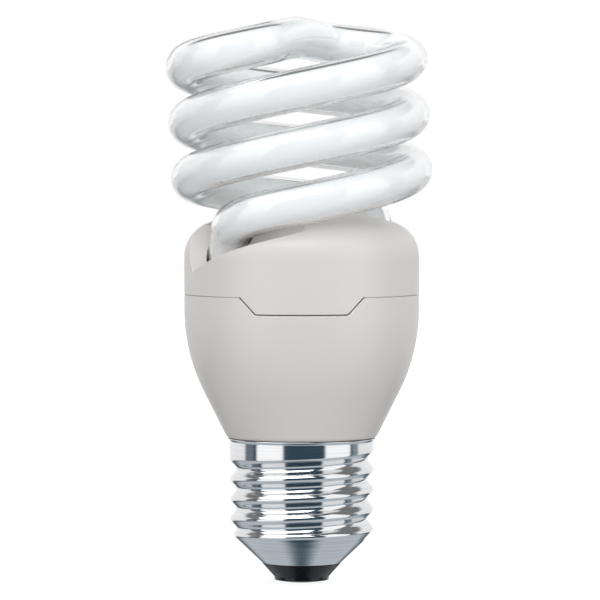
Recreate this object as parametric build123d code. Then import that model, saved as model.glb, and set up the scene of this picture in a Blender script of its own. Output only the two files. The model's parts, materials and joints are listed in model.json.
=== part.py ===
from build123d import *
import os
from math import asin, cos, degrees, pi, radians, sin, sqrt, tan

# Spiral compact fluorescent lamp with an E27 screw cap, in millimetres.
# The origin is on the face of the centre contact, +Z runs up the axis to the spiral,
# and the front of the housing, with its tab, faces -Y.

# Screw cap, a standard E27 with a rolled knuckle thread
THREAD_DIAMETER = 26.2
THREAD_DEPTH = 1.1
THREAD_PITCH = 3.629
THREAD_CREST_Z = 19.83  # the highest crest, at the front
THREAD_CRESTS = 3
SHELL_GAUGE = 0.35
SKIRT_DIAMETER = 26.4
RIM_DIAMETER = 27.2
RIM_FLARE_HEIGHT = 0.7
CAP_HEIGHT = 26.4
END_CONE_TOP_DIAMETER = 22.6
END_CONE_BOTTOM_DIAMETER = 14.4
END_CONE_BOTTOM_Z = 3.6
END_CONE_HEIGHT = 3.85

# Insulator and centre contact
INSULATOR_NOSE_DIAMETER = 10.0
INSULATOR_NOSE_HEIGHT = 0.6
INSULATOR_TOP_Z = 6.3
INSULATOR_EDGE_FILLET = 0.25
CONTACT_DIAMETER = 9.4
CONTACT_SAG = 0.5
CONTACT_PLATE = 0.35
EYELET_DIAMETER = 2.8
EYELET_WALL = 0.4
EYELET_FLANGE_DIAMETER = 4.2
EYELET_FLANGE = 0.3

# Housing
HOUSING_DIAMETER = 42.8
HOUSING_WALL = 1.4
LIP_FILLET = 1.1
CONE_ANGLE = 26.6
CONE_BLEND_RADIUS = 33.5
CUP_CURVE_TOP_Z = 50.0
SEAM_Z = 52.8
SEAM_GAP = 0.2
SEAM_CHAMFER = 0.25
SHOULDER_Z = 59.5
SHOULDER_RADIUS = 6.6
DOME_EDGE_SLOPE = 16.0
NECK_LENGTH = 9.0
NECK_WALL = 1.3

# Front tab of the cover
TAB_TOP_WIDTH = 22.0
TAB_BOTTOM_WIDTH = 16.4
TAB_DEPTH = 3.0
TAB_CORNER_RADIUS = 0.6

# Spigot of the cover in the cup, and the fingers that hold the board down
SPIGOT_WALL = 0.8
SPIGOT_DEPTH = 2.6
SPIGOT_ROOT = 1.8
FINGER_COUNT = 4
FINGER_WIDTH = 3.0
FINGER_THICKNESS = 1.4
RIB_WIDTH = 1.4
RIB_HEIGHT = 10.0
RIB_SEAT = 1.6  # how far the board rests on a rib

# Glass tube: a double helix with an S bridge
TUBE_DIAMETER = 7.6
SPIRAL_DIAMETER = 47.6
SPIRAL_PITCH = 20.2
SPIRAL_TOP_Z = 103.2
SPIRAL_LEAN = 2.7  # degrees, the wound glass stands off plumb towards -X
SPIRAL_LEAN_PIVOT_Z = 74.5
BRIDGE_AZIMUTH = 15.0  # where the front strand comes off the bridge on to the coil
BRIDGE_BEND_RADIUS = 8.4
BRIDGE_BEND_STEPS = 4
EASE_LENGTH = 13.6  # along the strand from the middle of the bridge until it falls at full slope
EASE_POWER = 1.5
COIL_TURN = 483.0  # degrees from the bridge down to where the strand bends down
COIL_STEPS = 14
HEADING_STEP = 0.01
TUBE_SEAT_RADIUS = 14.4
TUBE_SEAT_AZIMUTH = 204.0
TUBE_SEAT_Z = 57.5
TUBE_END_Z = 51.8
TUBE_END_FILLET = 1.2
EXHAUST_TIP_DIAMETER = 1.6
EXHAUST_TIP_LENGTH = 1.5

# Scoops and sleeves that take the tube ends
SCOOP_RADIUS = 5.2
SCOOP_WALL = 1.2
SCOOP_END = (198.0, 18.5, 60.8)  # azimuth, distance from the axis, height
SCOOP_MIDDLE = (230.0, 19.0, 65.6)
SCOOP_FRONT = (268.0, 20.0, 69.6)
TUBE_CLEARANCE = 0.3
SLEEVE_WALL = 1.1
SLEEVE_END_Z = 54.5
CEMENT_HEIGHT = 1.4
CEMENT_THICKNESS = 0.85

# Ballast board and what it carries, all on its lower side
BOARD_TOP_Z = 46.5
BOARD_THICKNESS = 1.6
BOARD_CLEARANCE = 0.4
LEG_DIAMETER = 0.6
LEG_STUB = 0.9
HOLE_CLEARANCE = 0.15
FIT_CLEARANCE = 0.1
PIN_SIDE = 0.8
PIN_HEIGHT = 3.2
PIN_STUB = 0.9
LEAD_DIAMETER = 0.4
LEAD_SPREAD = 3.2

CHOKE_PLACE = (2.5, 8.0)
CHOKE_CORE_WIDTH = 13.0
CHOKE_CORE_HEIGHT = 12.5
CHOKE_CORE_DEPTH = 5.0
CHOKE_YOKE = 2.2
CHOKE_POST = 3.6
CHOKE_FLANGE = 0.7
CHOKE_FLANGE_DEPTH = 9.2
CHOKE_SPOOL_WALL = 0.5
CHOKE_RAIL = 1.6
CHOKE_PIN_SPREAD = 6.0

CAN_PLACE = (0.0, -6.5)
CAN_DIAMETER = 10.0
CAN_HEIGHT = 16.0
CAN_EDGE_FILLET = 0.7
CAN_CRIMP_DEPTH = 0.5
CAN_CRIMP_HEIGHT = 1.5
CAN_LEG_SPREAD = 5.0

TOROID_PLACE = (-10.0, 8.0)
TOROID_DIAMETER = 8.0
TOROID_BORE = 4.4
TOROID_HEIGHT = 3.2
TOROID_EDGE_FILLET = 0.4
DRIVE_WINDING_COUNT = 3
DRIVE_WINDING_ARC = 50.0
DRIVE_WINDING_BUILD = 0.5

TUBE_CAPACITOR_PLACE = (9.8, -8.6)
TUBE_CAPACITOR_SIZE = (4.2, 7.6, 7.0)
COUPLING_CAPACITOR_PLACE = (13.4, -1.2)
COUPLING_CAPACITOR_SIZE = (3.6, 5.6, 6.0)
FILM_CAPACITOR_LEG_SHARE = 0.66
FILM_CAPACITOR_FILLET = 0.8

TRANSISTOR_PLACES = ((7.6, -1.5), (-7.6, -1.5))
TRANSISTOR_WIDTH = 4.7
TRANSISTOR_DEPTH = 3.7
TRANSISTOR_HEIGHT = 4.8
TRANSISTOR_STANDOFF = 2.0
TRANSISTOR_LEG_PITCH = 1.27

DIODE_COUNT = 4
DIODE_DIAMETER = 2.6
DIODE_LENGTH = 5.0
DIODE_FIRST_ANGLE = 172.0
DIODE_STEP_ANGLE = 25.0
DIODE_RING_GAP = 1.3  # between the can and the diodes round it
AXIAL_LEG_BEND = 1.2
AXIAL_LEG_SPREAD = 2.6
FUSIBLE_ANGLE = 302.0
FUSIBLE_DIAMETER = 3.0
FUSIBLE_LENGTH = 8.0
DIAC_PLACE = (10.4, 2.0)
DIAC_DIAMETER = 1.9
DIAC_LENGTH = 4.0
DIAC_LEG_ANGLE = 90.0

SUPPLY_WIRE_DIAMETER = 0.9
SUPPLY_WIRE_BEND = 2.5
CONTACT_LEAD_PLACE = (0.0, 1.0)
SHELL_LEAD_PLACE = (-4.5, 1.0)
LEAD_TURN_Z = 15.0

# Sizes that follow from those above
thread_radius = THREAD_DIAMETER / 2
root_radius = thread_radius - THREAD_DEPTH
shell_bore_radius = root_radius - SHELL_GAUGE
housing_radius = HOUSING_DIAMETER / 2
lip_z = CAP_HEIGHT + FIT_CLEARANCE
neck_radius = shell_bore_radius - FIT_CLEARANCE
neck_bore_radius = neck_radius - NECK_WALL
neck_end_z = lip_z - NECK_LENGTH
cup_bore_radius = housing_radius - HOUSING_WALL
tube_radius = TUBE_DIAMETER / 2
coil_radius = SPIRAL_DIAMETER / 2 - tube_radius
coil_slope = SPIRAL_PITCH / (2 * pi * coil_radius)
board_z = BOARD_TOP_Z - BOARD_THICKNESS
leg_radius = LEG_DIAMETER / 2
leg_top_z = BOARD_TOP_Z + LEG_STUB
lead_radius = LEAD_DIAMETER / 2
lead_to_pin = PIN_SIDE / sqrt(2) + lead_radius + FIT_CLEARANCE
can_radius = CAN_DIAMETER / 2
lean = Pos(0, 0, SPIRAL_LEAN_PIVOT_Z) * Rot(0, -SPIRAL_LEAN, 0) * Pos(0, 0, -SPIRAL_LEAN_PIVOT_Z)
half_turn = Rot(0, 0, 180)


def polar(azimuth, distance, z=0.0):
    """Point at an azimuth in degrees and a distance from the axis."""
    return Vector(distance * cos(radians(azimuth)), distance * sin(radians(azimuth)), z)


def lathe(outline):
    """Solid turned about the lamp's axis from a closed outline in the XZ plane."""
    return revolve(make_face(outline), Axis.Z)


def turned(*points):
    """Solid turned about the lamp's axis from corners given as (radius, z)."""
    return lathe(Polyline(*[(r, 0, z) for r, z in points], close=True))


def upright(place, radius, z_low, z_high):
    """Upright round bar between two heights."""
    x, y = place
    return extrude(Plane((x, y, z_low)) * Circle(radius), z_high - z_low)


def block(place, size, z_low):
    """Upright block, centred in plan on its place."""
    x, y = place
    width, depth, height = size
    return extrude(Plane((x, y, z_low)) * Rectangle(width, depth), height)


def wire(path, radius):
    """Round wire along a path."""
    return sweep(Plane(path @ 0, z_dir=path % 0) * Circle(radius), path=path)


# Screw cap


def cone_radius(z, inset=0.0):
    """Radius of the shell's end cone at a height, or of a cone inset within it."""
    slope = (END_CONE_TOP_DIAMETER - END_CONE_BOTTOM_DIAMETER) / 2 / END_CONE_HEIGHT
    return END_CONE_BOTTOM_DIAMETER / 2 + slope * (z - END_CONE_BOTTOM_Z) - inset * sqrt(1 + slope**2)


def cone_height(radius, inset=0.0):
    """Height at which the end cone, or a cone inset within it, has a radius."""
    slope = (END_CONE_TOP_DIAMETER - END_CONE_BOTTOM_DIAMETER) / 2 / END_CONE_HEIGHT
    return END_CONE_BOTTOM_Z + (radius - cone_radius(END_CONE_BOTTOM_Z, inset)) / slope


def screw_shell():
    """Rolled shell with a conical end, rounded thread ridges and a plain skirt with a flared rim."""
    low, high = END_CONE_BOTTOM_Z, CAP_HEIGHT
    ridges = thread_outline()
    foot, head = ridges @ 0, ridges @ 1
    outline = ridges + Polyline(
        head,
        (SKIRT_DIAMETER / 2, 0, head.Z + THREAD_DEPTH / 2),
        (SKIRT_DIAMETER / 2, 0, high - RIM_FLARE_HEIGHT),
        (RIM_DIAMETER / 2, 0, high),
        (shell_bore_radius, 0, high),
        (shell_bore_radius, 0, cone_height(shell_bore_radius, SHELL_GAUGE)),
        (cone_radius(low, SHELL_GAUGE), 0, low),
        (cone_radius(low), 0, low),
        (foot.X, 0, cone_height(foot.X)),
        foot,
    )
    return lathe(outline)


def thread_outline():
    """Knuckle thread's outline: equal arcs in and out, half a pitch each, from a root to a root."""
    half = THREAD_PITCH / 2
    middle = thread_radius - THREAD_DEPTH / 2
    lowest_crest_z = THREAD_CREST_Z - (THREAD_CRESTS - 1) * THREAD_PITCH
    z = lowest_crest_z - half / 2 - half
    arcs = []
    for i in range(2 * THREAD_CRESTS + 1):
        reach = THREAD_DEPTH / 2 if i % 2 else -THREAD_DEPTH / 2
        arcs.append(ThreePointArc((middle, 0, z), (middle + reach, 0, z + half / 2), (middle, 0, z + half)))
        z += half
    return Wire([arc.edge() for arc in arcs])


def cap_insulator():
    """Glass cone that closes the shell, with the eyelet's hole through it."""
    nose_z = CONTACT_SAG
    nose_top = nose_z + INSULATOR_NOSE_HEIGHT
    seat_z = END_CONE_BOTTOM_Z - FIT_CLEARANCE / 2
    inset = SHELL_GAUGE + FIT_CLEARANCE / 2
    body = turned(
        (EYELET_DIAMETER / 2 + FIT_CLEARANCE, nose_z),
        (INSULATOR_NOSE_DIAMETER / 2, nose_z),
        (INSULATOR_NOSE_DIAMETER / 2, nose_top),
        (END_CONE_BOTTOM_DIAMETER / 2, seat_z),
        (cone_radius(seat_z, inset), seat_z),
        (cone_radius(INSULATOR_TOP_Z, inset), INSULATOR_TOP_Z),
        (EYELET_DIAMETER / 2 + FIT_CLEARANCE, INSULATOR_TOP_Z),
    )
    nose_edge = body.edges().filter_by(GeomType.CIRCLE).group_by(Axis.Z)[0].sort_by(SortBy.RADIUS)[-1]
    return fillet(nose_edge, INSULATOR_EDGE_FILLET)


def centre_contact():
    """Domed contact with an eyelet riveted over the insulator."""
    radius = CONTACT_DIAMETER / 2
    eyelet = EYELET_DIAMETER / 2
    flange_z = INSULATOR_TOP_Z + FIT_CLEARANCE
    top_z = flange_z + EYELET_FLANGE
    dome = ThreePointArc(
        (0, 0, 0),
        (radius / 2, 0, CONTACT_SAG / 4),
        (radius, 0, CONTACT_SAG),
    )
    rest = Polyline(
        (radius, 0, CONTACT_SAG),
        (eyelet, 0, CONTACT_SAG),
        (eyelet, 0, flange_z),
        (EYELET_FLANGE_DIAMETER / 2, 0, flange_z),
        (EYELET_FLANGE_DIAMETER / 2, 0, top_z),
        (eyelet - EYELET_WALL, 0, top_z),
        (eyelet - EYELET_WALL, 0, CONTACT_PLATE),
        (0, 0, CONTACT_PLATE),
        (0, 0, 0),
    )
    return lathe(dome + rest)


# Housing


def cup_curve(inset):
    """Points on the cup's side from the straight wall down to its cone, inset by a wall."""
    middle_r = housing_radius - CONE_BLEND_RADIUS
    blend = CONE_BLEND_RADIUS - inset
    half, full = radians(CONE_ANGLE / 2), radians(CONE_ANGLE)
    return [
        (housing_radius - inset, CUP_CURVE_TOP_Z),
        (middle_r + blend * cos(half), CUP_CURVE_TOP_Z - blend * sin(half)),
        (middle_r + blend * cos(full), CUP_CURVE_TOP_Z - blend * sin(full)),
    ]


def cup_radius(z, inset):
    """Radius of the cup's cone at a height below its curve, inset by a wall."""
    r, low = cup_curve(inset)[-1]
    return r - (low - z) * tan(radians(CONE_ANGLE))


def cup_solid(inset, floor_z):
    """Turned body of the cup down to a floor, inset by a wall."""
    top, middle, low = [Vector(r, 0, z) for r, z in cup_curve(inset)]
    arc = ThreePointArc(top, middle, low)
    rest = Polyline(
        low,
        (cup_radius(floor_z, inset), 0, floor_z),
        (0, 0, floor_z),
        (0, 0, SEAM_Z),
        (housing_radius - inset, 0, SEAM_Z),
        top,
    )
    return lathe(arc + rest)


def tab_prism(grown):
    """Prism through the front wall in the tab's outline, grown by the seam's gap."""
    top_z, low_z = SEAM_Z, SEAM_Z - TAB_DEPTH
    lean_out = (TAB_TOP_WIDTH - TAB_BOTTOM_WIDTH) / 2 / TAB_DEPTH
    above = HOUSING_WALL
    half_top, half_low = TAB_TOP_WIDTH / 2 + lean_out * above, TAB_BOTTOM_WIDTH / 2
    corners = [(-half_low, low_z), (half_low, low_z), (half_top, top_z + above), (-half_top, top_z + above)]
    outline = Plane.XZ * make_face(Polyline(*corners, close=True))
    outline = fillet(outline.vertices().group_by(Axis.Z)[0], TAB_CORNER_RADIUS)
    if grown:
        outline = offset(outline, grown)
    return extrude(outline, housing_radius * 2)


def lower_housing():
    """Cup with a rounded lip, a neck for the cap, ribs for the board and the tab's cut-out."""
    body = cup_solid(0, lip_z)
    lip = body.edges().filter_by(GeomType.CIRCLE).group_by(Axis.Z)[0].sort_by(SortBy.RADIUS)[-1]
    body = fillet(lip, LIP_FILLET)
    outside = body
    hollow = cup_solid(HOUSING_WALL, lip_z + HOUSING_WALL)
    neck = upright((0, 0), neck_radius, neck_end_z, lip_z + HOUSING_WALL)
    neck_bore = upright((0, 0), neck_bore_radius, neck_end_z, lip_z + HOUSING_WALL)
    cup = body - hollow + neck - neck_bore
    cup += board_ribs() & outside
    cup -= tab_prism(SEAM_GAP)
    return chamfer(cup.edges().filter_by(on_seam_edge), SEAM_CHAMFER)


def on_seam_edge(edge):
    """Whether an edge lies on the cup's outside along the seam."""
    spots = [edge @ share for share in (0.0, 0.5, 1.0)]
    outside = all(sqrt(p.X**2 + p.Y**2) > housing_radius - HOUSING_WALL / 4 for p in spots)
    return outside and min(p.Z for p in spots) > SEAM_Z - TAB_DEPTH - 2 * SEAM_GAP


def board_ribs():
    """Upright ribs under the board, before they are trimmed to the cup."""
    board_edge = board_radius()
    reach = housing_radius - board_edge + RIB_SEAT
    middle = board_edge - RIB_SEAT + reach / 2
    rib = block((middle, 0), (reach, RIB_WIDTH, RIB_HEIGHT), board_z - RIB_HEIGHT)
    return Part() + [turn * rib for turn in finger_turns()]


def finger_turns():
    """Turns of the ribs and fingers about the axis, between the tube's two ends."""
    step = 360 / FINGER_COUNT
    return [Rot(0, 0, step * (i + 0.5)) for i in range(FINGER_COUNT)]


def dome_solid(inset):
    """Turned body of the cover above the seam, inset by a wall."""
    wall_r = housing_radius - inset
    shoulder = SHOULDER_RADIUS - inset
    turn = 90 - DOME_EDGE_SLOPE
    middle_r = housing_radius - SHOULDER_RADIUS

    def on_shoulder(angle):
        step = polar(angle, shoulder)
        return Vector(middle_r + step.X, 0, SHOULDER_Z + step.Y)

    edge = on_shoulder(turn)
    dome_radius = edge.X / sin(radians(DOME_EDGE_SLOPE))

    def on_dome(slope):
        drop = dome_radius * (cos(radians(slope)) - cos(radians(DOME_EDGE_SLOPE)))
        return Vector(dome_radius * sin(radians(slope)), 0, edge.Z + drop)

    outline = ThreePointArc(on_shoulder(0), on_shoulder(turn / 2), edge)
    outline += ThreePointArc(edge, on_dome(DOME_EDGE_SLOPE / 2), on_dome(0))
    outline += Polyline(on_dome(0), (0, 0, SEAM_Z), (wall_r, 0, SEAM_Z), on_shoulder(0))
    return lathe(outline)


def upper_housing():
    """Cover with its dome, scoops, tube sleeves, spigot, fingers and front tab."""
    outside = dome_solid(0)
    cover = outside - dome_solid(HOUSING_WALL)
    tab = (cup_solid(0, lip_z) - cup_solid(HOUSING_WALL, lip_z + HOUSING_WALL)) & tab_prism(0)
    cover += tab
    cover += spigot()
    for turn in (Rot(0, 0, 0), half_turn):
        cover += (turn * scoop_walls()) & outside
        cover += sleeve(turn) & outside
    for turn in (Rot(0, 0, 0), half_turn):
        cover -= turn * wire(scoop_path(), SCOOP_RADIUS)
        cover -= tube_end(turn, tube_radius + TUBE_CLEARANCE)
    return cover


def spigot():
    """Ring that enters the cup, rooted in the cover, with fingers down to the board."""
    outer = cup_bore_radius - FIT_CLEARANCE
    inner = outer - SPIGOT_WALL
    low, root = SEAM_Z - SPIGOT_DEPTH, SEAM_Z + SPIGOT_ROOT
    ring = turned(
        (inner, low),
        (outer, low),
        (outer, SEAM_Z),
        (cup_bore_radius + HOUSING_WALL / 2, SEAM_Z),
        (cup_bore_radius + HOUSING_WALL / 2, root),
        (inner, root),
    )
    edge = board_radius()
    middle = edge - FINGER_THICKNESS / 2
    finger = block((middle, 0), (FINGER_THICKNESS, FINGER_WIDTH, root - BOARD_TOP_Z), BOARD_TOP_Z)
    return ring + [turn * finger for turn in finger_turns()]


def scoop_path():
    """Centre line of the round channel in the shoulder that the front strand sinks into."""
    return ThreePointArc(polar(*SCOOP_END), polar(*SCOOP_MIDDLE), polar(*SCOOP_FRONT))


def scoop_walls():
    """Walls round the channel and across its end, before they are trimmed to the cover."""
    path = scoop_path()
    radius = SCOOP_RADIUS + SCOOP_WALL
    end = Plane(path @ 0, z_dir=path % 0) * Circle(radius)
    return wire(path, radius) + extrude(end, -SCOOP_WALL)


def sleeve(turn):
    """Sleeve under a scoop that a tube end is cemented in."""
    x, y, _ = seat(turn)
    radius = tube_radius + TUBE_CLEARANCE + SLEEVE_WALL
    return upright((x, y), radius, SLEEVE_END_Z, TUBE_SEAT_Z)


def seat(turn):
    """Point on the axis of a tube end, at the top of its straight part."""
    return (turn * Pos(polar(TUBE_SEAT_AZIMUTH, TUBE_SEAT_RADIUS, TUBE_SEAT_Z))).position


# Glass tube


def bridge_offset_angle():
    """Angle between the straight middle of the bridge and the line to its bend's centre."""
    return degrees(asin(BRIDGE_BEND_RADIUS / (coil_radius - BRIDGE_BEND_RADIUS)))


def bridge_lengths():
    """Lengths of the straight and of the bend in one half of the bridge."""
    straight = sqrt(coil_radius**2 - 2 * coil_radius * BRIDGE_BEND_RADIUS)
    return straight, BRIDGE_BEND_RADIUS * radians(90 + bridge_offset_angle())


def strand_point(s):
    """Point of the front strand at a plan length from the middle of the bridge, before it leans."""
    straight, bend_length = bridge_lengths()
    bend = BRIDGE_BEND_RADIUS
    offset_angle = bridge_offset_angle()
    z = SPIRAL_TOP_Z - tube_radius - coil_slope * eased_fall(s)
    if s <= straight:
        return polar(BRIDGE_AZIMUTH + offset_angle, s, z)
    if s <= straight + bend_length:
        angle = BRIDGE_AZIMUTH + 90 + offset_angle - degrees((s - straight) / bend)
        return polar(BRIDGE_AZIMUTH, coil_radius - bend, z) + polar(angle, bend)
    return polar(BRIDGE_AZIMUTH - degrees((s - straight - bend_length) / coil_radius), coil_radius, z)


def eased_fall(s):
    """Length along which the strand has fallen at its full slope, eased in from level."""
    share = min(abs(s) / EASE_LENGTH, 1)
    return EASE_LENGTH * share**EASE_POWER / EASE_POWER + max(s - EASE_LENGTH, 0)


def on_strand(s, turn):
    """Point and heading of a strand as it stands on the lamp."""
    before, at, after = [
        (lean * turn * Pos(strand_point(s + step))).position for step in (-HEADING_STEP, 0, HEADING_STEP)
    ]
    return at, (after - before).normalized()


def joined_arcs(start, heading, end, end_heading):
    """Two arcs that leave one point and reach another along given headings, tangent where they meet."""
    across = end - start
    along = across.dot(heading + end_heading)
    bend = 2 * (1 - heading.dot(end_heading))
    reach = across.dot(across) / (along + sqrt(along**2 + bend * across.dot(across)))
    joint = (start + end + (heading - end_heading) * reach) * 0.5
    first = TangentArc(start, joint, tangent=heading)
    second = TangentArc(joint, end, tangent=first % 1)
    return [first.edge(), second.edge()]


def strand_stations():
    """Lengths along a strand at which its arcs meet."""
    straight, bend_length = bridge_lengths()
    coil_start = straight + bend_length
    coil_length = coil_radius * radians(COIL_TURN)
    bends = [straight + bend_length * i / BRIDGE_BEND_STEPS for i in range(BRIDGE_BEND_STEPS)]
    return [0, *bends] + [coil_start + coil_length * i / COIL_STEPS for i in range(COIL_STEPS + 1)]


def strand(turn):
    """Edges of a strand from the middle of the bridge down to the end of its coil."""
    stations = strand_stations()
    edges = []
    for low, high in zip(stations, stations[1:]):
        edges += joined_arcs(*on_strand(low, turn), *on_strand(high, turn))
    return edges


def tube_end_path(turn):
    """Edges of a tube end: the bend from the coil down to its seat, and the straight stem."""
    top = seat(turn)
    down = Vector(0, 0, -1)
    bend = joined_arcs(*on_strand(strand_stations()[-1], turn), top, down)
    return bend + [Line(top, (top.X, top.Y, TUBE_END_Z)).edge()]


def tube_end(turn, radius):
    """Round bar along one end of the tube."""
    return wire(Wire(tube_end_path(turn)), radius)


def spiral_tube():
    """Whole glass tube, with rounded ends and exhaust tips."""
    edges = []
    for turn in (Rot(0, 0, 0), half_turn):
        edges += strand(turn) + tube_end_path(turn)
    tube = wire(Wire(edges), tube_radius)
    ends = tube.edges().filter_by(GeomType.CIRCLE).group_by(Axis.Z)[0]
    tube = fillet(ends, TUBE_END_FILLET)
    tip = EXHAUST_TIP_DIAMETER / 2
    for turn in (Rot(0, 0, 0), half_turn):
        x, y, _ = seat(turn)
        tube += upright((x, y), tip, TUBE_END_Z - EXHAUST_TIP_LENGTH, TUBE_END_Z + tip)
    return tube


# Ballast


def board_radius():
    """Radius of the board, clear of the cup's wall at its lower face."""
    middle_r = housing_radius - CONE_BLEND_RADIUS
    blend = CONE_BLEND_RADIUS - HOUSING_WALL
    return middle_r + sqrt(blend**2 - (CUP_CURVE_TOP_Z - board_z) ** 2) - BOARD_CLEARANCE


def spread(place, distance, angle=0.0):
    """Two places either side of a middle."""
    x, y = place
    step = polar(angle, distance / 2)
    return [(x - step.X, y - step.Y), (x + step.X, y + step.Y)]


def beside(place, distance, angle):
    """Place at a distance and angle from another."""
    step = polar(angle, distance)
    return (place[0] + step.X, place[1] + step.Y)


def legs(places, z_low):
    """Upright legs from a component up through the board."""
    return [upright(place, leg_radius, z_low, leg_top_z) for place in places]


def choke_pins():
    """Places of the choke's pins, in the rails either side of its core."""
    x, y = CHOKE_PLACE
    rail = CHOKE_FLANGE_DEPTH / 2 - CHOKE_RAIL / 2
    return spread((x, y - rail), CHOKE_PIN_SPREAD) + spread((x, y + rail), CHOKE_PIN_SPREAD)


def can_legs():
    """Places of the electrolytic capacitor's legs."""
    return spread(CAN_PLACE, CAN_LEG_SPREAD)


def film_legs(place, size):
    """Places of a film capacitor's legs, along its length."""
    return spread(place, size[1] * FILM_CAPACITOR_LEG_SHARE, 90)


def transistor_legs(place):
    """Places of a transistor's three legs in a row."""
    return [place] + spread(place, 2 * TRANSISTOR_LEG_PITCH)


def round_the_can(angle, diameter):
    """Place of a standing component beside the electrolytic capacitor."""
    return beside(CAN_PLACE, can_radius + DIODE_RING_GAP + diameter / 2, angle)


def standing_parts():
    """Name, place, leg angle, diameter and length of each component that stands on its leg."""
    found = []
    for i in range(DIODE_COUNT):
        angle = DIODE_FIRST_ANGLE + i * DIODE_STEP_ANGLE
        place = round_the_can(angle, DIODE_DIAMETER)
        found.append((f"rectifier_diode_{i + 1}", place, angle, DIODE_DIAMETER, DIODE_LENGTH))
    place = round_the_can(FUSIBLE_ANGLE, FUSIBLE_DIAMETER)
    found.append(("fusible_resistor", place, FUSIBLE_ANGLE, FUSIBLE_DIAMETER, FUSIBLE_LENGTH))
    found.append(("diac", DIAC_PLACE, DIAC_LEG_ANGLE, DIAC_DIAMETER, DIAC_LENGTH))
    return found


def lead_pin_places():
    """Places of the four lead pins and of the leads beside them."""
    found = []
    for turn in (Rot(0, 0, 0), half_turn):
        top = seat(turn)
        outward = Vector(top.X, top.Y, 0).normalized()
        across = Vector(-outward.Y, outward.X, 0)
        for side in (-1, 1):
            lead = Vector(top.X, top.Y, 0) + across * (side * LEAD_SPREAD / 2)
            pin = lead - outward * lead_to_pin
            found.append(((pin.X, pin.Y), (lead.X, lead.Y)))
    return found


def ballast_board():
    """Round board with a hole for every leg, pin and wire."""
    board = upright((0, 0), board_radius(), board_z, BOARD_TOP_Z)
    places = choke_pins() + can_legs()
    places += film_legs(TUBE_CAPACITOR_PLACE, TUBE_CAPACITOR_SIZE)
    places += film_legs(COUPLING_CAPACITOR_PLACE, COUPLING_CAPACITOR_SIZE)
    for place in TRANSISTOR_PLACES:
        places += transistor_legs(place)
    for _, place, angle, _, _ in standing_parts():
        places += [place, beside(place, AXIAL_LEG_SPREAD, angle)]
    holes = [(place, leg_radius) for place in places]
    holes += [(pin, PIN_SIDE / sqrt(2)) for pin, _ in lead_pin_places()]
    holes += [(place, SUPPLY_WIRE_DIAMETER / 2) for place in (CONTACT_LEAD_PLACE, SHELL_LEAD_PLACE)]
    return board - [upright(p, r + HOLE_CLEARANCE, board_z, BOARD_TOP_Z) for p, r in holes]


def choke_levels():
    """Heights of the choke core's top and of its window's top and bottom."""
    core_top = board_z - FIT_CLEARANCE
    return core_top, core_top - CHOKE_YOKE, core_top - CHOKE_CORE_HEIGHT + CHOKE_YOKE


def choke_window():
    """Width between the choke core's outer limbs."""
    return CHOKE_CORE_WIDTH - 2 * CHOKE_YOKE


def choke_core():
    """Pair of E-shaped ferrites that meet at the middle of their limbs."""
    core_top, window_top, window_low = choke_levels()
    size = (CHOKE_CORE_WIDTH, CHOKE_CORE_DEPTH, CHOKE_CORE_HEIGHT)
    core = block(CHOKE_PLACE, size, core_top - CHOKE_CORE_HEIGHT)
    window = (choke_window(), CHOKE_CORE_DEPTH, window_top - window_low)
    post = (CHOKE_POST, CHOKE_CORE_DEPTH, window_top - window_low)
    return core - block(CHOKE_PLACE, window, window_low) + block(CHOKE_PLACE, post, window_low)


def choke_bobbin():
    """Spool round the core's middle limb, with rails that stand on the board."""
    _, window_top, window_low = choke_levels()
    top, low = window_top - FIT_CLEARANCE, window_low + FIT_CLEARANCE
    hole = (CHOKE_POST + 2 * FIT_CLEARANCE, CHOKE_CORE_DEPTH + 2 * FIT_CLEARANCE)
    spool = [side + 2 * CHOKE_SPOOL_WALL for side in hole]
    flange = (choke_window() - 2 * FIT_CLEARANCE, CHOKE_FLANGE_DEPTH, CHOKE_FLANGE)
    body = block(CHOKE_PLACE, (*spool, top - low), low)
    body += block(CHOKE_PLACE, flange, low)
    body += block(CHOKE_PLACE, flange, top - CHOKE_FLANGE)
    x, y = CHOKE_PLACE
    rail = (flange[0], CHOKE_RAIL, board_z - top)
    for side in (-1, 1):
        place = (x, y + side * (CHOKE_FLANGE_DEPTH - CHOKE_RAIL) / 2)
        body += block(place, rail, top)
    body -= block(CHOKE_PLACE, (*hole, top - low), low)
    return body + legs(choke_pins(), top)


def choke_winding():
    """Wire wound on the bobbin, as one rounded solid."""
    _, window_top, window_low = choke_levels()
    top = window_top - FIT_CLEARANCE * 2 - CHOKE_FLANGE
    low = window_low + FIT_CLEARANCE * 2 + CHOKE_FLANGE
    inner = [
        CHOKE_POST + 4 * FIT_CLEARANCE + 2 * CHOKE_SPOOL_WALL,
        CHOKE_CORE_DEPTH + 4 * FIT_CLEARANCE + 2 * CHOKE_SPOOL_WALL,
    ]
    outer = [choke_window() - 4 * FIT_CLEARANCE, CHOKE_FLANGE_DEPTH - 4 * FIT_CLEARANCE]
    x, y = CHOKE_PLACE
    corner = (outer[1] - inner[1]) / 2
    section = RectangleRounded(*outer, corner) - Rectangle(*inner)
    return extrude(Plane((x, y, low)) * section, top - low)


def electrolytic_capacitor():
    """Sleeved can with a crimped end, hanging from the board into the cup."""
    low = board_z - CAN_HEIGHT
    body = upright(CAN_PLACE, can_radius, low, board_z)
    body = fillet(body.edges().filter_by(GeomType.CIRCLE).group_by(Axis.Z)[0], CAN_EDGE_FILLET)
    x, y = CAN_PLACE
    crimp = Pos(x, y, board_z - CAN_CRIMP_HEIGHT) * Torus(can_radius + CAN_CRIMP_DEPTH, 2 * CAN_CRIMP_DEPTH)
    return body - crimp + legs(can_legs(), board_z)


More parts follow.
